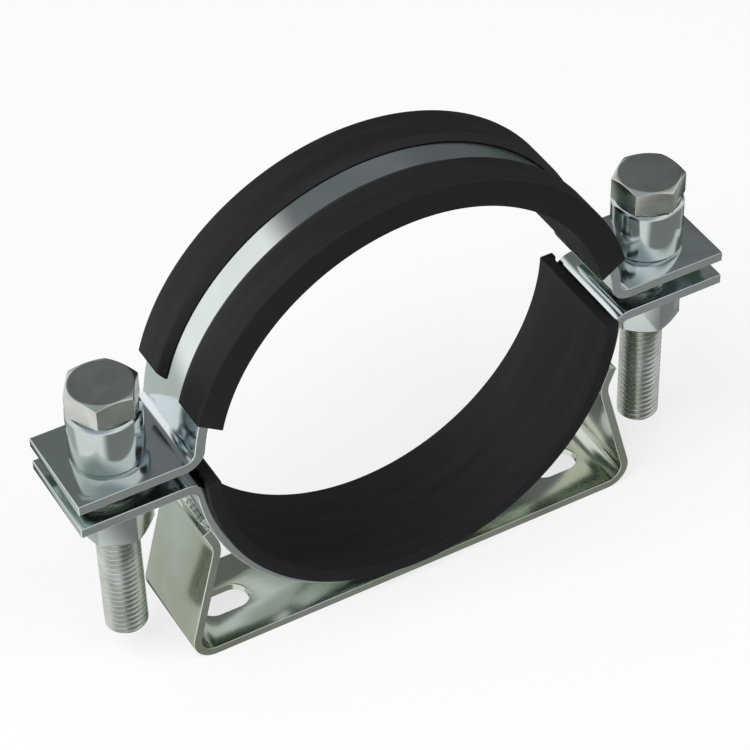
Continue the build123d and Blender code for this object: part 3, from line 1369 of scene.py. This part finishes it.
@dataclass(frozen=True)
class Flag:
    """Soft-edged dark or grey flag that shiny faces mirror in front of the pale background.

    Attributes:
        azimuth: Direction of its middle in degrees, 0 being the front and 90 the right.
        elevation: Height angle of its middle in degrees.
        full: Angle from its middle, in degrees, within which it has its full colour.
        faded: Angle at which it has gone.
        colour: Its colour.
    """

    azimuth: float
    elevation: float
    full: float
    faded: float
    colour: Tint

    def lay_over(self, board: NodeBoard, direction: bpy.types.NodeSocket, mirrored: bpy.types.NodeSocket,
                 under: bpy.types.NodeSocket) -> bpy.types.NodeSocket:
        """Mix the flag over a colour, for mirrored rays only.

        Args:
            board: The world's board.
            direction: Socket with the direction that is looked in.
            mirrored: Socket that is 1 for a mirrored ray.
            under: Colour of what lies behind the flag.

        Returns:
            Socket with the mixed colour.
        """
        turn, lift = math.radians(self.azimuth), math.radians(self.elevation)
        axis = (math.sin(turn) * math.cos(lift), -math.cos(turn) * math.cos(lift), math.sin(lift))
        match = board.add("VectorMath", operation="DOT_PRODUCT")
        match.inputs[1].default_value = axis
        mask = board.add("MapRange", interpolation_type="SMOOTHSTEP",
                         From__Min=math.cos(math.radians(self.faded)),
                         From__Max=math.cos(math.radians(self.full)))
        shown = board.add("Math", operation="MULTIPLY")
        mix = board.add("Mix", data_type="RGBA")
        live_input(mix, "B").default_value = (*self.colour, 1.0)
        board.join(direction, match.inputs[0])
        board.wire((match, "Value", mask, "Value"), (mask, "Result", shown, 0))
        board.join(mirrored, shown.inputs[1])
        board.join(shown.outputs["Value"], live_factor(mix))
        board.join(under, live_input(mix, "A"))
        return live_result(mix)


@dataclass
class Studio:
    """Pale floor, white background with flags, soft lamps and the camera.

    Attributes:
        ring: Shared sizes of the ring, round whose middle it is set up.
        lens: Focal length in millimetres.
        sensor: Width of the camera's sensor in millimetres.
        azimuth: Direction of the camera in degrees, 0 being the front and 90 the right.
        elevation: Its height angle in degrees.
        roll: Its turn about its own axis, in degrees.
        distance: Its distance from the middle of the ring.
        aside: Distance of the ring's middle to the right of the picture's.
        above: Its distance above it.
        near: Nearest distance that the camera sees.
        floor_size: Side of the square floor in metres.
        floor_shade: Grey of the floor.
        floor_glow: Share of plain white in what the camera sees of the floor.
        ambient: Even light of the surroundings.
        lamps: The soft lamps.
        flags: The flags, the last of them in front.
    """

    ring: RingSizes
    lens: float = 142.8
    sensor: float = 36.0
    azimuth: float = -28.303
    elevation: float = 42.192
    roll: float = 1.677
    distance: float = 798.55 * MM
    aside: float = 3.193 * MM
    above: float = 4.671 * MM
    near: float = 50.0 * MM
    floor_size: float = 8.0
    floor_shade: float = 0.86
    floor_glow: float = 0.7
    ambient: Tint = (0.40, 0.41, 0.42)
    lamps: tuple[SoftBox, ...] = (
        SoftBox("key lamp", -75.0, 55.0, 1.6, (1.2, 1.2), 20.0),
        SoftBox("fill lamp", 35.0, 50.0, 1.8, (1.4, 1.0), 9.0))
    flags: tuple[Flag, ...] = (
        Flag(146.0, 56.0, 34.0, 49.0, (0.155, 0.165, 0.17)),
        Flag(128.0, 8.0, 18.0, 34.0, (0.11, 0.12, 0.125)),
        Flag(36.0, -24.0, 46.0, 64.0, (0.25, 0.26, 0.25)),
        Flag(150.0, -38.0, 26.0, 46.0, (0.05, 0.08, 0.06)),
        Flag(-140.0, -34.0, 12.0, 25.0, (0.50, 0.54, 0.51)),
        Flag(-60.0, 66.0, 16.0, 44.0, (0.42, 0.46, 0.50)))

    def build(self) -> None:
        """Set up floor, world, lamps and camera."""
        self._floor()
        self._world()
        for lamp in self.lamps:
            lamp.build(self.ring.centre)
        self._camera()

    def _floor(self) -> None:
        """Pale floor that keeps the object's shadow; mirrored rays meet the background behind it."""
        bm = bmesh.new()
        bmesh.ops.create_grid(bm, x_segments=1, y_segments=1, size=self.floor_size / 2)
        floor = new_piece("floor", bm)
        material = bpy.data.materials.new("Pale floor")
        material.use_nodes = True
        material.node_tree.nodes.clear()
        board = NodeBoard(material.node_tree)
        path = board.add("LightPath")
        matt = board.add("BsdfDiffuse", Color=(self.floor_shade, self.floor_shade, self.floor_shade, 1.0))
        glow = board.add("Emission", Color=(1.0, 1.0, 1.0, 1.0), Strength=1.0)
        clear = board.add("BsdfTransparent")
        seen = board.add("Math", operation="MAXIMUM")
        share = board.add("Math", operation="MULTIPLY")
        share.inputs[1].default_value = self.floor_glow
        lit = board.add("MixShader")
        mirrored = board.add("MixShader")
        out = board.add("OutputMaterial")
        board.wire((path, "Is Camera Ray", seen, 0), (path, "Is Transmission Ray", seen, 1),
                   (seen, "Value", share, 0), (share, "Value", lit, "Fac"), (matt, "BSDF", lit, 1),
                   (glow, "Emission", lit, 2), (path, "Is Glossy Ray", mirrored, "Fac"),
                   (lit, "Shader", mirrored, 1), (clear, "BSDF", mirrored, 2),
                   (mirrored, "Shader", out, "Surface"))
        floor.data.materials.append(material)

    def _world(self) -> None:
        """White background for seen and mirrored rays, even soft light for the rest, and the flags."""
        world = bpy.data.worlds.new("Studio world")
        bpy.context.scene.world = world
        world.use_nodes = True
        world.node_tree.nodes.clear()
        board = NodeBoard(world.node_tree)
        path = board.add("LightPath")
        place = board.add("TexCoord")
        direct = board.add("Math", operation="MAXIMUM")
        seen = board.add("Math", operation="MAXIMUM")
        white = board.add("Mix", data_type="RGBA")
        live_input(white, "A").default_value = (*self.ambient, 1.0)
        live_input(white, "B").default_value = (1.0, 1.0, 1.0, 1.0)
        sky = board.add("Background", Strength=1.0)
        out = board.add("OutputWorld")
        board.wire((path, "Is Camera Ray", direct, 0), (path, "Is Transmission Ray", direct, 1),
                   (direct, "Value", seen, 0), (path, "Is Glossy Ray", seen, 1))
        board.join(seen.outputs["Value"], live_factor(white))
        colour = live_result(white)
        for flag in self.flags:
            colour = flag.lay_over(board, place.outputs["Generated"], path.outputs["Is Glossy Ray"], colour)
        board.join(colour, sky.inputs["Color"])
        board.join(sky.outputs["Background"], out.inputs["Surface"])

    def _camera(self) -> None:
        """Camera at the chosen viewing angle."""
        data = bpy.data.cameras.new("camera")
        data.lens = self.lens
        data.sensor_width = self.sensor
        data.clip_start = self.near
        camera = bpy.data.objects.new("camera", data)
        turn = (Matrix.Rotation(math.radians(self.azimuth), 4, "Z")
                @ Matrix.Rotation(math.radians(90.0 - self.elevation), 4, "X")
                @ Matrix.Rotation(math.radians(-self.roll), 4, "Z"))
        back_off = Matrix.Translation((-self.aside, -self.above, self.distance))
        camera.matrix_world = Matrix.Translation(self.ring.centre) @ turn @ back_off
        bpy.context.scene.collection.objects.link(camera)
        bpy.context.scene.camera = camera


def main() -> None:
    """Build the clamp and the studio round it."""
    clamp = PipeClamp()
    clamp.build()
    Studio(clamp.ring).build()
    bpy.context.scene.view_settings.view_transform = "Standard"
    log.info("clamp and studio are ready")


if __name__ == "__main__":
    main()
